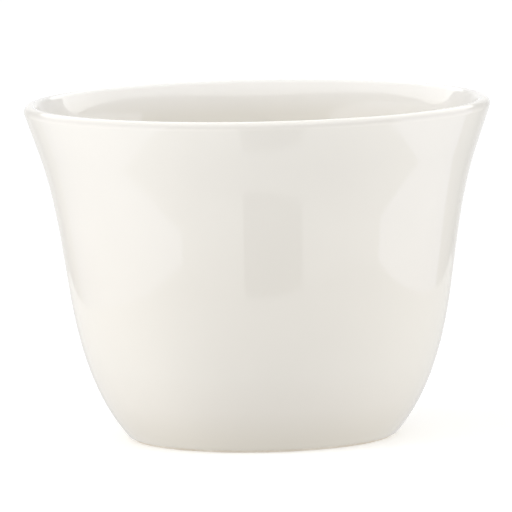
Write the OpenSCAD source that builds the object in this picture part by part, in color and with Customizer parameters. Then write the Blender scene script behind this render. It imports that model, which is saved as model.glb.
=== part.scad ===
// Small coffee cup without a handle, in glazed porcelain: a bell that flares to a round lip.
// Millimetres, +Z up. The origin is under the middle of the foot, on the plane the cup stands on.
// Every outline is drawn as a radius and a height, and turned about the Z axis.

/* [Overall] */
// Diameter over the rim, glaze included
rim_d = 65; // [56:0.5:74]
// Height from the standing plane to the crest of the lip
cup_h = 47.1; // [38:0.1:56]

/* [Bell] */
// Diameter at the waist, where the belly's curve gives way to the flare
waist_d = 53.7; // [46:0.1:60]
// Height of the waist
waist_h = 22.2; // [18:0.2:27]
// Lean of the wall at the waist, from upright
waist_lean = 8.3; // [4:0.1:12]
// Lean of the wall just above the foot
heel_lean = 41; // [33:0.5:50]
// Lean of the band outside under the lip
rim_lean = 19; // [14:0.5:25]
// Width of the straight band under the lip, measured down the wall
rim_band = 6; // [3:0.1:9]

/* [Wall] */
// Thickness of the lip, glaze included
lip_t = 1.9; // [1.4:0.1:2.6]
// Lean of the inside wall where it runs into the lip
mouth_lean = 24; // [20:0.5:28]
// Thickness of the wall at the waist, glaze included
wall_t = 2.4; // [1.8:0.1:3.1]
// Thickness of the floor between the bowl and the recess, glaze included
floor_t = 3; // [2.2:0.1:4]
// How far in from the foot's edge the floor of the bowl starts to rise
well_inset = 8.6; // [7:0.1:10.5]

/* [Foot] */
// Diameter of the bare foot, where the heel's line meets the standing plane
foot_d = 36.3; // [29:0.1:44]
// Width of the foot ring at the standing plane
ring_w = 2.2; // [1.7:0.1:3]
// Depth of the recess inside the foot ring, up to the clay
recess_h = 1.5; // [1.2:0.1:2]
// Lean of the ring's inner side, in over the recess
recess_lean = 25; // [15:1:35]
// Radius where the ring's inner side runs into the recess's ceiling
recess_fillet = 0.8; // [0.5:0.1:1]
// Radius on both edges of the foot ring
foot_round = 0.5; // [0.3:0.05:0.7]
// Height up to which the foot is wiped bare of glaze
bare_h = 0.5; // [0.4:0.05:0.7]

/* [Glaze] */
// Thickness of each coat of glaze
glaze_t = 0.2; // [0.12:0.02:0.3]

/* [Hidden] */
$fn = 128;
clay = [0.84, 0.80, 0.73];
white_glaze = [0.96, 0.95, 0.92];
shaded_glaze = [0.93, 0.91, 0.87];

// Flat stretches in each long curve, and in a round of 90 degrees
curve_steps = 12;
round_steps = 6;

foot_r = foot_d / 2;
ring_inner_r = foot_r - ring_w;
lip_r = lip_t / 2;
well_r = foot_r - well_inset;
floor_h = recess_h - glaze_t + floor_t;

// The direction up a wall that leans outwards, and the direction square to it, away from the axis
function up_wall(lean) = [sin(lean), cos(lean)];
function off_wall(lean) = [cos(lean), -sin(lean)];

// The finished outside passes these: the top of the bare foot with its glaze, the waist, and the
// lower edge of the band under the lip, whose round has its middle at lip
bare_edge = [foot_r, 0] + up_wall(heel_lean) / cos(heel_lean) * bare_h;
heel = bare_edge + off_wall(heel_lean) * glaze_t;
waist = [waist_d / 2, waist_h];
lip = [rim_d / 2 - lip_r, cup_h - lip_r];
band = lip + lip_r * off_wall(rim_lean) - rim_band * up_wall(rim_lean);

// The finished inside passes these
well = [well_r, floor_h];
waist_inside = waist - wall_t * off_wall(waist_lean);
mouth = lip - lip_r * off_wall(mouth_lean);

// A round of radius r about a middle, from one angle to another
function round_about(middle, r, from, to) =
    let (n = ceil(abs(to - from) * round_steps / 90))
    [for (i = [0 : n]) let (a = from + (to - from) * i / n) middle + r * [cos(a), sin(a)]];

// The smooth curve up a wall between two points, given its lean at each. Its pulls are those of
// a circle's arc with the same turn. Every point is set off sideways by the same distance, so
// the two faces of a coat of glaze stay parallel.
function wall_curve(from, from_lean, to, to_lean, off) =
    let (turn = from_lean - to_lean, pull = norm(to - from) * 2 / 3 / (1 + cos(turn / 2)),
         a = from + pull * up_wall(from_lean), b = to - pull * up_wall(to_lean))
    [for (i = [0 : curve_steps])
        let (t = i / curve_steps, s = 1 - t,
             p = s * s * s * from + 3 * s * s * t * a + 3 * s * t * t * b + t * t * t * to,
             d = s * s * (a - from) + 2 * s * t * (b - a) + t * t * (to - b),
             way = d / norm(d))
        p + off * [way[1], -way[0]]];

// All but the first point of a list, for a curve that starts where the last one ended
function rest_of(points) = [for (i = [1 : len(points) - 1]) points[i]];

function reversed(points) = [for (i = [len(points) - 1 : -1 : 0]) points[i]];

// The outside from the top of the bare foot to the crest of the lip, sunk into the wall by depth
function outside(depth) = concat(
    wall_curve(heel, heel_lean, waist, waist_lean, -depth),
    rest_of(wall_curve(waist, waist_lean, band, rim_lean, -depth)),
    round_about(lip, lip_r - depth, -rim_lean, 0),
    rest_of(round_about(lip, lip_r - depth, 0, 90)));

// The inside from the middle of the floor to the crest of the lip, sunk into the wall by depth
function inside(depth) = concat(
    [[0, floor_h - depth]],
    wall_curve(well, 90, waist_inside, waist_lean, depth),
    rest_of(wall_curve(waist_inside, waist_lean, mouth, mouth_lean, depth)),
    rest_of(round_about(lip, lip_r - depth, 180 - mouth_lean, 90)));

// The recess from the top of its bare edge to the middle of its ceiling, with a coat this thick
function recess(coat) =
    let (up = [-sin(recess_lean), cos(recess_lean)], off = [-cos(recess_lean), -sin(recess_lean)],
         edge = [ring_inner_r, 0] + up * bare_h / cos(recess_lean),
         fillet_h = recess_h - recess_fillet + recess_fillet * sin(recess_lean),
         middle = [ring_inner_r, 0] + up * fillet_h / cos(recess_lean) + off * recess_fillet)
    concat(
        [edge + off * coat],
        round_about(middle, recess_fillet - coat, recess_lean, 90),
        [[0, recess_h - coat]]);

// The bare foot ring, from the recess round to the outside
function foot_ring() =
    let (inner_cut = foot_round * tan((90 - recess_lean) / 2),
         outer_cut = foot_round * tan((90 - heel_lean) / 2))
    concat(
        round_about([ring_inner_r + inner_cut, foot_round], foot_round, 180 + recess_lean, 270),
        round_about([foot_r - outer_cut, foot_round], foot_round, 270, 360 - heel_lean));

// The fired clay: wall, floor and foot ring in one piece
module biscuit_body() {
    color(clay)
        rotate_extrude()
            polygon(concat(inside(glaze_t), rest_of(reversed(outside(glaze_t))),
                reversed(foot_ring()), recess(0)));
}

// The lining of the bowl, from the crest of the lip over the wall and the floor
module inside_glaze() {
    color(white_glaze)
        rotate_extrude()
            polygon(concat(inside(0), reversed(inside(glaze_t))));
}

// The coat outside, from the crest of the lip down to the bare foot
module outside_glaze() {
    color(white_glaze)
        rotate_extrude()
            polygon(concat(outside(0), reversed(outside(glaze_t))));
}

// The coat in the hollow under the cup
module foot_recess_glaze() {
    color(shaded_glaze)
        rotate_extrude()
            polygon(concat(recess(0), reversed(recess(glaze_t))));
}

biscuit_body();
inside_glaze();
outside_glaze();
foot_recess_glaze();
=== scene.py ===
from math import atan2, ceil, cos, degrees, radians, sin, tan, tau

import bmesh
import bpy
from mathutils import Matrix, Vector


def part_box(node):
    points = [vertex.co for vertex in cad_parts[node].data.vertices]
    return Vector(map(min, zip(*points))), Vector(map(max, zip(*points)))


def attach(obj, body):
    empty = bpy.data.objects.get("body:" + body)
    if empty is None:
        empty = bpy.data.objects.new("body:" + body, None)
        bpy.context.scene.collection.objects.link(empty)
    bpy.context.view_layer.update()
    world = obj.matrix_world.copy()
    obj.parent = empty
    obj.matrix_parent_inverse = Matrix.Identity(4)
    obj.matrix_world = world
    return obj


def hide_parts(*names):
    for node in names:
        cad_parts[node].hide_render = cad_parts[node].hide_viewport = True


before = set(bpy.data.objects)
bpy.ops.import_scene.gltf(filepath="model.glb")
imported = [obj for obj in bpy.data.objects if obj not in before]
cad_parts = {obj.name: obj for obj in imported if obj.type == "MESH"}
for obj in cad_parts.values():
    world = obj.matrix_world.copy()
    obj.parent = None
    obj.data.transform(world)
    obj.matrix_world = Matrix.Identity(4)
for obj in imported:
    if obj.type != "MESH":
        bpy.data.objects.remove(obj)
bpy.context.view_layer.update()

mm = 0.001
scene = bpy.context.scene

coatLow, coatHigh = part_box("outside_glaze")
rimAcross = coatHigh.x - coatLow.x
cupHigh = coatHigh.z

bell = {
    "waistAcross": 53.7 * mm,   # where the belly's curve gives way to the flare
    "waistHigh": 22.2 * mm,
    "waistLean": 8.3,           # leans are degrees from upright
    "heelLean": 41,
    "rimLean": 19,
    "mouthLean": 24,            # the inside wall where it runs into the lip
    "rimBand": 6 * mm,          # the straight band under the lip
    "lipThick": 1.9 * mm,
    "wallThick": 2.4 * mm,
    "floorThick": 3 * mm,
    "wellInset": 8.6 * mm,
    "footAcross": 36.3 * mm,
    "ringWide": 2.2 * mm,
    "recessHigh": 1.5 * mm,
    "recessLean": 25,
    "recessFillet": 0.8 * mm,
    "footRound": 0.5 * mm,
    "bareHigh": 0.5 * mm,
    "glazeThick": 0.2 * mm,
    "glazeEdge": 0.11 * mm,     # rounding of a coat's lower edge
    "curveSteps": 34,           # flat stretches in each long curve
    "roundSteps": 14,           # and in a round of 90 degrees
    # degrees of the last stretch before the lip's crest, so short that the gloss of the two coats
    # meets there without a line
    "crestStretch": 0.4,
}


def upWall(lean):
    return Vector((sin(radians(lean)), 0, cos(radians(lean))))


def offWall(lean):
    return Vector((cos(radians(lean)), 0, -sin(radians(lean))))


footR = bell["footAcross"] / 2
ringInnerR = footR - bell["ringWide"]
lipR = bell["lipThick"] / 2
glazeThick = bell["glazeThick"]
floorHigh = bell["recessHigh"] - glazeThick + bell["floorThick"]

# the outline passes these, as the frame's does: heel, waist, lower edge of the rim's band, lip
heelSlope = upWall(bell["heelLean"]) / cos(radians(bell["heelLean"]))
bareEdge = Vector((footR, 0, 0)) + heelSlope * bell["bareHigh"]
heel = bareEdge + offWall(bell["heelLean"]) * glazeThick
waist = Vector((bell["waistAcross"] / 2, 0, bell["waistHigh"]))
lip = Vector((rimAcross / 2 - lipR, 0, cupHigh - lipR))
band = lip + lipR * offWall(bell["rimLean"]) - bell["rimBand"] * upWall(bell["rimLean"])
well = Vector((footR - bell["wellInset"], 0, floorHigh))
waistInside = waist - bell["wallThick"] * offWall(bell["waistLean"])
mouth = lip - lipR * offWall(bell["mouthLean"])


def roundAbout(middle, r, fromTurn, toTurn):
    steps = ceil(abs(toTurn - fromTurn) * bell["roundSteps"] / 90)
    turns = [radians(fromTurn + (toTurn - fromTurn) * i / steps) for i in range(steps + 1)]
    return [middle + Vector((r * cos(a), 0, r * sin(a))) for a in turns]


def wallCurve(start, startLean, end, endLean, off):
    # a smooth curve up a wall, every point set off sideways by the same distance
    pull = (end - start).length * 2 / 3 / (1 + cos(radians(startLean - endLean) / 2))
    a = start + pull * upWall(startLean)
    b = end - pull * upWall(endLean)
    points = []
    for i in range(bell["curveSteps"] + 1):
        t = i / bell["curveSteps"]
        s = 1 - t
        p = s * s * s * start + 3 * s * s * t * a + 3 * s * t * t * b + t * t * t * end
        way = (s * s * (a - start) + 2 * s * t * (b - a) + t * t * (end - b)).normalized()
        points.append(p + off * Vector((way.z, 0, -way.x)))
    return points


def outside(depth):
    # from the heel to the lip's crest, sunk into the wall by depth
    return (wallCurve(heel, bell["heelLean"], waist, bell["waistLean"], -depth)
            + wallCurve(waist, bell["waistLean"], band, bell["rimLean"], -depth)[1:]
            + roundAbout(lip, lipR - depth, -bell["rimLean"], 0)
            + roundAbout(lip, lipR - depth, 0, 90 - bell["crestStretch"])[1:]
            + [lip + Vector((0, 0, lipR - depth))])


def inside(depth):
    # from the middle of the bowl's floor to the lip's crest
    return ([Vector((0, 0, floorHigh - depth))]
            + wallCurve(well, 90, waistInside, bell["waistLean"], depth)
            + wallCurve(waistInside, bell["waistLean"], mouth, bell["mouthLean"], depth)[1:]
            + roundAbout(lip, lipR - depth, 180 - bell["mouthLean"], 90 + bell["crestStretch"])[1:]
            + [lip + Vector((0, 0, lipR - depth))])


def recess(coat):
    # from the top of the ring's bare inner side to the middle of the recess
    lean = radians(bell["recessLean"])
    fillet = bell["recessFillet"]
    up = Vector((-sin(lean), 0, cos(lean)))
    off = Vector((-cos(lean), 0, -sin(lean)))
    ringFoot = Vector((ringInnerR, 0, 0))
    edge = ringFoot + up * bell["bareHigh"] / cos(lean)
    filletHigh = bell["recessHigh"] - fillet + fillet * sin(lean)
    middle = ringFoot + up * filletHigh / cos(lean) + off * fillet
    return ([edge + off * coat]
            + roundAbout(middle, fillet - coat, bell["recessLean"], 90)
            + [Vector((0, 0, bell["recessHigh"] - coat))])


def footRing():
    r = bell["footRound"]
    innerCut = r * tan(radians(90 - bell["recessLean"]) / 2)
    outerCut = r * tan(radians(90 - bell["heelLean"]) / 2)
    return (roundAbout(Vector((ringInnerR + innerCut, 0, r)), r, 180 + bell["recessLean"], 270)
            + roundAbout(Vector((footR - outerCut, 0, r)), r, 270, 360 - bell["heelLean"]))


turning = {
    "steps": 160,                   # round the axis
    "mergeWithin": 0.0001 * mm,
    "cornerWithin": 0.002 * mm,     # how closely a ring of edges is found by its corner
    "cornerSteps": 5,               # flat stretches in a rounded corner
    "sharpFrom": 35,                # degrees between two faces from which their edge stays sharp
}


def turned(name, outline, closed, corner=None):
    # spins an outline about the axis, then rounds the ring of edges that its corner leaves
    bm = bmesh.new()
    verts = [bm.verts.new(p) for p in outline]
    edges = [bm.edges.new(pair) for pair in zip(verts, verts[1:])]
    if closed:
        edges.append(bm.edges.new((verts[-1], verts[0])))
    bmesh.ops.spin(bm, geom=verts + edges, cent=(0, 0, 0), axis=(0, 0, 1), angle=tau,
                   steps=turning["steps"], use_merge=True, use_duplicate=False)
    bmesh.ops.remove_doubles(bm, verts=bm.verts, dist=turning["mergeWithin"])
    bmesh.ops.recalc_face_normals(bm, faces=bm.faces)
    if corner:
        within = turning["cornerWithin"]
        ring = [e for e in bm.edges if all(
            abs(v.co.xy.length - corner.x) < within and abs(v.co.z - corner.z) < within
            for v in e.verts)]
        bmesh.ops.bevel(bm, geom=ring, offset=bell["glazeEdge"], offset_type="OFFSET",
                        segments=turning["cornerSteps"], profile=0.5, affect="EDGES",
                        clamp_overlap=True, material=-1)
    for face in bm.faces:
        face.smooth = True
    for edge in bm.edges:
        edge.smooth = edge.calc_face_angle(0) < radians(turning["sharpFrom"])
    mesh = bpy.data.meshes.new(name)
    bm.to_mesh(mesh)
    bm.free()
    piece = bpy.data.objects.new(name, mesh)
    scene.collection.objects.link(piece)
    return piece


def freshMaterial(name):
    material = bpy.data.materials.new(name)
    material.use_nodes = True
    tree = material.node_tree
    tree.nodes.clear()
    return material, tree


def add(tree, kind, inputs=None, **settings):
    # adds a node; an input is a plain value, or another node's output to link
    node = tree.nodes.new("ShaderNode" + kind)
    for key, value in settings.items():
        setattr(node, key, value)
    for key, value in (inputs or {}).items():
        if isinstance(value, bpy.types.NodeSocket):
            tree.links.new(value, node.inputs[key])
        else:
            node.inputs[key].default_value = value
    return node


def ramp(tree, value, stops):
    node = add(tree, "ValToRGB", {"Fac": value})
    marks = node.color_ramp.elements
    while len(marks) < len(stops):
        marks.new(0.5)
    for mark, (place, colour) in zip(marks, stops):
        mark.position = place
        mark.color = (*colour, 1)
    return node.outputs["Color"]


glazeLook = {
    "tonesWithPaintedShading": [                              # up the wall, each at its height as a part of the cup's: the glaze's ivory with painted shading, darker towards the foot and paler towards the rim
        (0.03, (0.706, 0.665, 0.588)),      # painted shade: darker and warmer just above the foot, where the wall faces down
        (0.13, (0.759, 0.723, 0.662)),
        (0.24, (0.777, 0.747, 0.690)),
        (0.50, (0.777, 0.747, 0.690)),
        (0.72, (0.805, 0.777, 0.723)),
        (0.977, (0.834, 0.808, 0.756)),
        (0.987, (0.725, 0.699, 0.657)),     # painted shade: a darker band on the lip's shoulder, which narrows the bright band under the lip's highlight
        (0.991, (0.725, 0.699, 0.657)),
        (0.998, (0.834, 0.808, 0.756)),
    ],
    "cloud": 0.014,                         # how far the tone drifts over the wall
    "cloudScale": 42.0,
    "speck": (0.50, 0.42, 0.32),            # pin-pricks of iron, under a tenth of a millimetre
    "speckScale": 520.0,
    "speckless": 0.965,                     # share of the places that have none
    "speckStrength": 0.30,
    "speckCore": 0.02,                      # full up to here from its middle, in parts of a cell
    "speckEdge": 0.06,                      # and gone from here on
    "roughness": 0.03,
    "smoothest": 0.85,                      # the roughness wanders between these times its value
    "roughest": 1.2,
    "sheenScale": 150.0,
    "peel": 0.0010 * mm,                    # height of the fine orange peel
    "peelScale": 620.0,
    "ripple": 0.004 * mm,                   # height of the slow unevenness
    "rippleScale": 48.0,
}
footGlazeLook = {**glazeLook, "roughness": 0.11}
# painted shade: the inside has the same glaze, painted darker in the bowl's hollow and paler towards the rim
bowlShadedGlazeLook = {**glazeLook, "tonesWithPaintedShading": [
    (0.03, (0.706, 0.665, 0.588)),
    (0.13, (0.759, 0.723, 0.662)),
    (0.24, (0.735, 0.700, 0.635)),
    (0.50, (0.735, 0.700, 0.635)),
    (0.90, (0.757, 0.730, 0.673)),
    (0.977, (0.808, 0.792, 0.764)),
]}


def glaze(name, look):
    material, tree = freshMaterial(name)
    place = add(tree, "TexCoord").outputs["Object"]
    height = add(tree, "SeparateXYZ", {"Vector": place}).outputs["Z"]
    up = add(tree, "MapRange", {"Value": height, "From Min": 0.0, "From Max": cupHigh}).outputs["Result"]
    tone = ramp(tree, up, look["tonesWithPaintedShading"])
    slow = add(tree, "TexNoise", {"Vector": place, "Scale": look["cloudScale"], "Detail": 3.0,
                                  "Roughness": 0.5})
    drift = add(tree, "MapRange", {"Value": slow.outputs["Fac"], "From Min": 0.3, "From Max": 0.7,
                                   "To Min": 1 - look["cloud"], "To Max": 1 + look["cloud"]})
    clouded = add(tree, "VectorMath", {0: tone, "Scale": drift.outputs["Result"]}, operation="SCALE")
    # specks sit at the middles of a few cells; 6, 7 and 2 below are the mix's sockets for colours
    cells = add(tree, "TexVoronoi", {"Vector": place, "Scale": look["speckScale"]})
    pick = add(tree, "SeparateColor", {"Color": cells.outputs["Color"]}).outputs["Red"]
    rare = add(tree, "Math", {0: pick, 1: look["speckless"]}, operation="GREATER_THAN").outputs["Value"]
    near = add(tree, "MapRange", {"Value": cells.outputs["Distance"],
                                  "From Min": look["speckCore"], "From Max": look["speckEdge"],
                                  "To Min": look["speckStrength"], "To Max": 0.0}).outputs["Result"]
    speck = add(tree, "Math", {0: rare, 1: near}, operation="MULTIPLY").outputs["Value"]
    colour = add(tree, "Mix", {"Factor": speck, 6: clouded.outputs["Vector"], 7: (*look["speck"], 1)},
                 data_type="RGBA").outputs[2]
    fine = add(tree, "TexNoise", {"Vector": place, "Scale": look["peelScale"], "Detail": 2.0})
    broad = add(tree, "TexNoise", {"Vector": place, "Scale": look["rippleScale"], "Detail": 1.0})
    peel = add(tree, "Bump", {"Height": fine.outputs["Fac"], "Distance": look["peel"]})
    ripple = add(tree, "Bump", {"Height": broad.outputs["Fac"], "Distance": look["ripple"],
                                "Normal": peel.outputs["Normal"]})
    sheen = add(tree, "TexNoise", {"Vector": place, "Scale": look["sheenScale"], "Detail": 4.0})
    rough = add(tree, "MapRange", {"Value": sheen.outputs["Fac"], "From Min": 0.35, "From Max": 0.65,
                                   "To Min": look["roughness"] * look["smoothest"],
                                   "To Max": look["roughness"] * look["roughest"]})
    shader = add(tree, "BsdfPrincipled", {"Base Color": colour, "Roughness": rough.outputs["Result"],
                                          "IOR": 1.5, "Normal": ripple.outputs["Normal"]})
    add(tree, "OutputMaterial", {"Surface": shader.outputs["BSDF"]})
    return material


clayLook = {
    "light": (0.74, 0.69, 0.60),
    "dark": (0.62, 0.55, 0.45),
    "gritScale": 1800.0,
    "patchScale": 160.0,
    "smoothest": 0.70,
    "roughest": 0.92,
    "grain": 0.012 * mm,            # height of the grit
    "turningMarks": 0.010 * mm,     # height of the fine rings left by the wheel
    "markScale": 900.0,
    "markWander": 1.5,
}


def firedClay(name, look):
    material, tree = freshMaterial(name)
    place = add(tree, "TexCoord").outputs["Object"]
    grit = add(tree, "TexNoise", {"Vector": place, "Scale": look["gritScale"], "Detail": 4.0,
                                  "Roughness": 0.6})
    patch = add(tree, "TexNoise", {"Vector": place, "Scale": look["patchScale"], "Detail": 3.0})
    blend = add(tree, "Math", {0: grit.outputs["Fac"], 1: patch.outputs["Fac"]}, operation="MULTIPLY")
    colour = ramp(tree, blend.outputs["Value"], [(0.12, look["dark"]), (0.36, look["light"])])
    rings = add(tree, "TexWave", {"Vector": place, "Scale": look["markScale"],
                                  "Distortion": look["markWander"]},
                wave_type="RINGS", rings_direction="Z")
    marks = add(tree, "Bump", {"Height": rings.outputs["Fac"], "Distance": look["turningMarks"]})
    grain = add(tree, "Bump", {"Height": grit.outputs["Fac"], "Distance": look["grain"],
                               "Normal": marks.outputs["Normal"]})
    rough = add(tree, "MapRange", {"Value": patch.outputs["Fac"], "To Min": look["smoothest"],
                                   "To Max": look["roughest"]})
    shader = add(tree, "BsdfPrincipled", {"Base Color": colour, "Roughness": rough.outputs["Result"],
                                          "IOR": 1.45, "Specular IOR Level": 0.35,
                                          "Normal": grain.outputs["Normal"]})
    add(tree, "OutputMaterial", {"Surface": shader.outputs["BSDF"]})
    return material


print("turning the four pieces")
# the outlines of the clay and the bowl's glaze start and end on the axis, so they stay open; the
# recess's stays open at its bare edge, where the coat has no end face and its corner isn't rounded
clayOutline = inside(glazeThick) + outside(glazeThick)[-2::-1] + footRing()[::-1] + recess(0)
clayBody = turned("clayBody", clayOutline, False)
bowlGlaze = turned("bowlGlaze", inside(0) + inside(glazeThick)[::-1], False)
wallGlaze = turned("wallGlaze", outside(0) + outside(glazeThick)[::-1], True, heel)
recessGlaze = turned("recessGlaze", recess(0) + recess(glazeThick)[::-1], False, recess(glazeThick)[0])

pieces = [
    (clayBody, "biscuit_body", "fired_clay", firedClay("biscuitClay", clayLook)),
    (bowlGlaze, "inside_glaze", "inside_glaze", glaze("bowlGlaze", bowlShadedGlazeLook)),
    (wallGlaze, "outside_glaze", "outside_glaze", glaze("ivoryGlaze", glazeLook)),
    (recessGlaze, "foot_recess_glaze", "foot_glaze", glaze("footGlaze", footGlazeLook)),
]
for piece, node, slotName, material in pieces:
    piece.data.materials.append(material)
    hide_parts(node)
    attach(piece, "root")
print("pieces ready:", ", ".join(piece.name for piece, *_ in pieces))


# the small table that shows in the gloss: its corners in millimetres, as (x, y, rounding), seen
# from above
table = {
    "corners": [
        (-82, 150, 30), (-82, -18, 8), (-74, -45, 6), (-68.5, -60, 5), (-57.5, -73, 3),
        (-42, -75.9, 5), (-14, -79.4, 8), (24, -79.1, 8), (46, -74.3, 7), (62, -69.8, 6),
        (87, -44, 6), (90.5, -30, 5), (91.5, -10, 6), (90, 150, 30),
    ],
    "roundingSteps": 8,
    "reach": 26.0,      # how much wider the floor round it is
}


def flatObject(name, bm, material):
    mesh = bpy.data.meshes.new(name)
    bm.to_mesh(mesh)
    bm.free()
    mesh.materials.append(material)
    thing = bpy.data.objects.new(name, mesh)
    scene.collection.objects.link(thing)
    return thing


def tableShape():
    bm = bmesh.new()
    corners = [bm.verts.new((x * mm, y * mm, 0)) for x, y, _ in table["corners"]]
    bm.faces.new(corners)
    for corner, (*_, rounding) in zip(corners, table["corners"]):
        bmesh.ops.bevel(bm, geom=[corner], offset=rounding * mm, offset_type="OFFSET",
                        segments=table["roundingSteps"], profile=0.5, affect="VERTICES",
                        clamp_overlap=True, material=-1)
    bmesh.ops.recalc_face_normals(bm, faces=bm.faces)
    if bm.faces[0].normal.z < 0:
        bmesh.ops.reverse_faces(bm, faces=bm.faces[:])
    return bm


floorLook = {
    "paperDark": (0.93, 0.93, 0.925),
    "paperLight": (0.95, 0.95, 0.945),
    "mottleScale": 14.0,
    "lift": 0.17,       # a little light of its own for the camera, so that its white is even
    "middle": 0.80,     # how bright it shows in the gloss, and what each side adds at the table's edge
    "left": 0.10,
    "right": 0.05,
    "back": 0.0,
    "reach": 80 * mm,
}


def floorMaterial(name):
    material, tree = freshMaterial(name)
    path = add(tree, "LightPath").outputs
    place = add(tree, "TexCoord").outputs["Object"]
    mottle = add(tree, "TexNoise", {"Vector": place, "Scale": floorLook["mottleScale"], "Detail": 2.0})
    paper = ramp(tree, mottle.outputs["Fac"], [(0.3, floorLook["paperDark"]), (0.7, floorLook["paperLight"])])
    matt = add(tree, "BsdfDiffuse", {"Color": paper})
    lift = add(tree, "Emission", {"Strength": floorLook["lift"]})
    seen = add(tree, "AddShader", {0: matt.outputs["BSDF"], 1: lift.outputs["Emission"]})
    axes = add(tree, "SeparateXYZ", {"Vector": place}).outputs
    level = floorLook["middle"]
    for side, axis, far in (("left", "X", -1), ("right", "X", 1), ("back", "Y", 1)):
        share = add(tree, "MapRange", {"Value": axes[axis], "From Max": far * floorLook["reach"]})
        level = add(tree, "Math", {0: share.outputs["Result"], 1: floorLook[side], 2: level},
                    operation="MULTIPLY_ADD").outputs["Value"]
    # painted light: in the gloss the table glows by itself, brighter towards its left and right edges as if
    # the windows lit it there
    mirrored = add(tree, "Emission", {"Strength": level})
    top = add(tree, "MixShader", {"Fac": path["Is Glossy Ray"], 1: seen.outputs["Shader"],
                                  2: mirrored.outputs["Emission"]})
    # from below it is clear, so that the foot can be looked at
    clear = add(tree, "BsdfTransparent")
    side = add(tree, "MixShader", {"Fac": add(tree, "NewGeometry").outputs["Backfacing"],
                                   1: top.outputs["Shader"], 2: clear.outputs["BSDF"]})
    add(tree, "OutputMaterial", {"Surface": side.outputs["Shader"]})
    return material


# the floor is the table's edge drawn out on all sides; the gloss sees the table alone
floorFinish = floorMaterial("paleFloor")
tableTop = flatObject("tableTop", tableShape(), floorFinish)
around = tableShape()
innerEdge = around.edges[:]
bmesh.ops.delete(around, geom=around.faces[:], context="FACES_ONLY")
grown = bmesh.ops.extrude_edge_only(around, edges=innerEdge)["geom"]
outerEdge = [v for v in grown if isinstance(v, bmesh.types.BMVert)]
bmesh.ops.scale(around, vec=(table["reach"], table["reach"], 1), verts=outerEdge)
if sum(f.normal.z for f in around.faces) < 0:
    bmesh.ops.reverse_faces(around, faces=around.faces[:])
floor = flatObject("floor", around, floorFinish)
floor.visible_glossy = False
for ground in (tableTop, floor):
    ground.visible_diffuse = False

daylight = (0.98, 1.0, 1.12)    # tint of what comes through the windows
windowDepth = (-0.45, 0.45)     # y where a card has its front strength, and where its back strength
behindDepth = (1.44, 1.585)     # the same for the two far cards behind the cup

# cards that only the gloss sees, each an arc about the cup: its radius in metres, and its lower
# edge in degrees above the foot. Azimuth 0 is towards the camera, positive to its right, and the
# upper edge is given in degrees above the foot at a few azimuths
cards = {
    "leftWindow": {"radius": 0.62, "low": -60, "front": 1.72, "back": 0.60, "tint": daylight,
                   "top": [(-137, 18), (-117, 23.2), (-106, 27), (-79, 33.3), (-62, 35.5), (-46, 35.6)]},
    "rightWindow": {"radius": 0.62, "low": -60, "front": 2.35, "back": 0.80, "tint": daylight,
                    "top": [(74, 32.4), (99, 27.6), (120, 21.8), (131, 19.2)]},
    "darkStrip": {"radius": 0.62, "low": -60, "front": 0.05, "back": 0.05, "top": [(-9.2, 5), (25.2, 5)]},
    "roomWall": {"radius": 2.0, "low": 5, "front": 0.42, "back": 0.42, "top": [(-137, 50), (131, 50)]},
    "paperBehind": {"radius": 1.6, "low": -60, "front": 0.50, "back": 0.95, "depth": behindDepth,
                    "top": [(131, 0), (223, 0)]},
    "roomBehind": {"radius": 1.6, "low": 0, "front": 0.52, "back": 1.05, "depth": behindDepth,
                   "top": [(131, 50), (223, 50)]},
}
cardSteps = 48
# an oval panel over the cup: half its width and depth, how far back its middle lies, and the y
# where it is cut off, because a larger one would darken the rest
overhead = {"high": 0.6, "wide": 2.35, "deep": 6.64, "back": 5.988, "cut": 1.3, "strength": 2.1,
            "segments": 256}


def glowMaterial(name, front, back, depth=windowDepth, tint=(1, 1, 1)):
    # a light surface whose strength runs from its part nearest the camera to its part farthest off
    material, tree = freshMaterial(name)
    place = add(tree, "TexCoord").outputs["Object"]
    y = add(tree, "SeparateXYZ", {"Vector": place}).outputs["Y"]
    level = add(tree, "MapRange", {"Value": y, "From Min": depth[0], "From Max": depth[1],
                                   "To Min": front, "To Max": back}).outputs["Result"]
    glow = add(tree, "Emission", {"Color": (*tint, 1), "Strength": level})
    add(tree, "OutputMaterial", {"Surface": glow.outputs["Emission"]})
    return material


def glossOnly(thing):
    thing.visible_camera = False
    thing.visible_diffuse = False
    thing.visible_shadow = False
    thing.visible_transmission = False
    thing.visible_volume_scatter = False


def between(value, marks):
    # the height on a line through (place, height) marks
    for (a, low), (b, high) in zip(marks, marks[1:]):
        if value <= b:
            return low + (high - low) * max(0.0, (value - a) / (b - a))
    return marks[-1][1]


def arcCard(name, look):
    bm = bmesh.new()
    start, stop = look["top"][0][0], look["top"][-1][0]
    turn = radians(start)
    radius = look["radius"]
    corner = (radius * sin(turn), -radius * cos(turn))
    lowEnd = bm.verts.new((*corner, radius * tan(radians(look["low"]))))
    topEnd = bm.verts.new((*corner, 2 * radius))
    pole = bm.edges.new((lowEnd, topEnd))
    bmesh.ops.spin(bm, geom=[lowEnd, topEnd, pole], cent=(0, 0, 0), axis=(0, 0, 1), steps=cardSteps,
                   angle=radians(stop - start), use_merge=False, use_duplicate=False)
    # the upper edge comes down to its own height; past 180 an azimuth comes back as negative
    for v in bm.verts:
        if v.co.z > radius:
            azimuth = degrees(atan2(v.co.x, -v.co.y))
            if azimuth < start - 1:
                azimuth += 360
            v.co.z = radius * tan(radians(between(azimuth, look["top"])))
    glow = glowMaterial(name, look["front"], look["back"], look.get("depth", windowDepth),
                        look.get("tint", (1, 1, 1)))
    glossOnly(flatObject(name, bm, glow))


for name, look in cards.items():
    arcCard(name, look)

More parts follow.
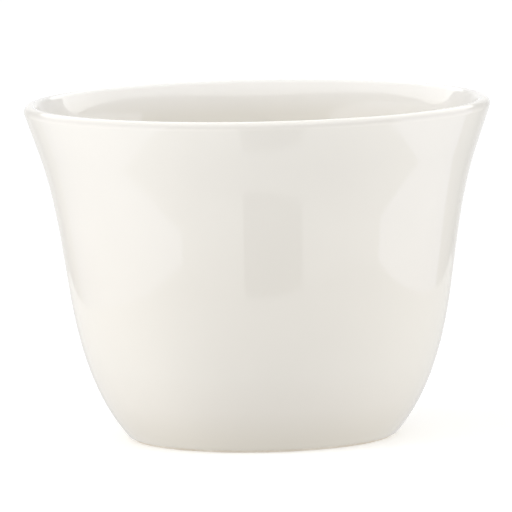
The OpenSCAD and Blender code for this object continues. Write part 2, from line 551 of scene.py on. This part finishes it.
panel = bmesh.new()
bmesh.ops.create_circle(panel, cap_ends=True, segments=overhead["segments"], radius=1)
bmesh.ops.scale(panel, vec=(overhead["wide"], overhead["deep"], 1), verts=panel.verts)
bmesh.ops.translate(panel, vec=(0, overhead["back"], overhead["high"]), verts=panel.verts)
bmesh.ops.bisect_plane(panel, geom=panel.verts[:] + panel.edges[:] + panel.faces[:],
                       plane_co=(0, overhead["cut"], 0), plane_no=(0, 1, 0), clear_outer=True)
panelGlow = glowMaterial("overheadPanel", overhead["strength"], overhead["strength"])
glossOnly(flatObject("overheadPanel", panel, panelGlow))
print("table, floor and cards ready")

lamps = {
    "leftLight": {"place": (-0.95, -0.35, 0.45), "size": (0.8, 1.0), "power": 5.4},
    "rightLight": {"place": (0.95, -0.25, 0.45), "size": (0.8, 1.0), "power": 4.4},
}


def softBox(name, look):
    # the gloss shows the cards, so the lamps themselves stay out of it
    lamp = bpy.data.lights.new(name, "AREA")
    lamp.shape = "RECTANGLE"
    lamp.size, lamp.size_y = look["size"]
    lamp.energy = look["power"]
    thing = bpy.data.objects.new(name, lamp)
    aim = Vector((0, 0, cupHigh / 2)) - Vector(look["place"])
    thing.matrix_world = Matrix.Translation(look["place"]) @ aim.to_track_quat("-Z", "Y").to_matrix().to_4x4()
    scene.collection.objects.link(thing)
    thing.visible_camera = False
    thing.visible_glossy = False


for name, look in lamps.items():
    softBox(name, look)

worldLook = {"left": 1.42, "right": 1.19, "front": 1.04, "back": 0.96, "up": 0.83, "down": 1.02}


def paintWorld():
    # white where it is seen or mirrored, and a soft fill with its own strength towards each side
    world = bpy.data.worlds.new("studio")
    scene.world = world
    world.use_nodes = True
    tree = world.node_tree
    tree.nodes.clear()
    path = add(tree, "LightPath").outputs
    seen = add(tree, "Math", {0: path["Is Camera Ray"], 1: path["Is Glossy Ray"]}, operation="MAXIMUM")
    seen = add(tree, "Math", {0: seen.outputs["Value"], 1: path["Is Transmission Ray"]}, operation="MAXIMUM")
    way = add(tree, "SeparateXYZ", {"Vector": add(tree, "TexCoord").outputs["Generated"]}).outputs
    level = 0.0
    for side, axis, far in (("left", "X", -1), ("right", "X", 1), ("front", "Y", -1), ("back", "Y", 1),
                            ("down", "Z", -1), ("up", "Z", 1)):
        lean = add(tree, "MapRange", {"Value": way[axis], "From Max": far}).outputs["Result"]
        share = add(tree, "Math", {0: lean, 1: lean}, operation="MULTIPLY").outputs["Value"]
        level = add(tree, "Math", {0: share, 1: worldLook[side], 2: level},
                    operation="MULTIPLY_ADD").outputs["Value"]
    fill = add(tree, "Background", {"Strength": level})
    white = add(tree, "Background", {"Color": (1, 1, 1, 1), "Strength": 1.0})
    both = add(tree, "MixShader", {"Fac": seen.outputs["Value"], 1: fill.outputs["Background"],
                                   2: white.outputs["Background"]})
    add(tree, "OutputWorld", {"Surface": both.outputs["Shader"]})


paintWorld()

view = {
    "target": (-0.53 * mm, 0, 25.24 * mm),
    "distance": 1.2,
    "rise": 6.4,        # degrees above the horizon
    "roll": -1.15,
    "lens": 604.3,
    "sensor": 36,
    "nearest": 0.05,    # what is nearer or farther than these isn't drawn
    "farthest": 50,
}


def placeCamera():
    data = bpy.data.cameras.new("camera")
    data.lens = view["lens"]
    data.sensor_width = view["sensor"]
    data.clip_start = view["nearest"]
    data.clip_end = view["farthest"]
    camera = bpy.data.objects.new("camera", data)
    scene.collection.objects.link(camera)
    scene.camera = camera
    back = Vector((0, -cos(radians(view["rise"])), sin(radians(view["rise"]))))
    place = Vector(view["target"]) + view["distance"] * back
    turn = (-back).to_track_quat("-Z", "Y").to_matrix().to_4x4()
    camera.matrix_world = Matrix.Translation(place) @ turn @ Matrix.Rotation(radians(view["roll"]), 4, "Z")


placeCamera()
scene.view_settings.view_transform = "Standard"
print("light and camera placed")
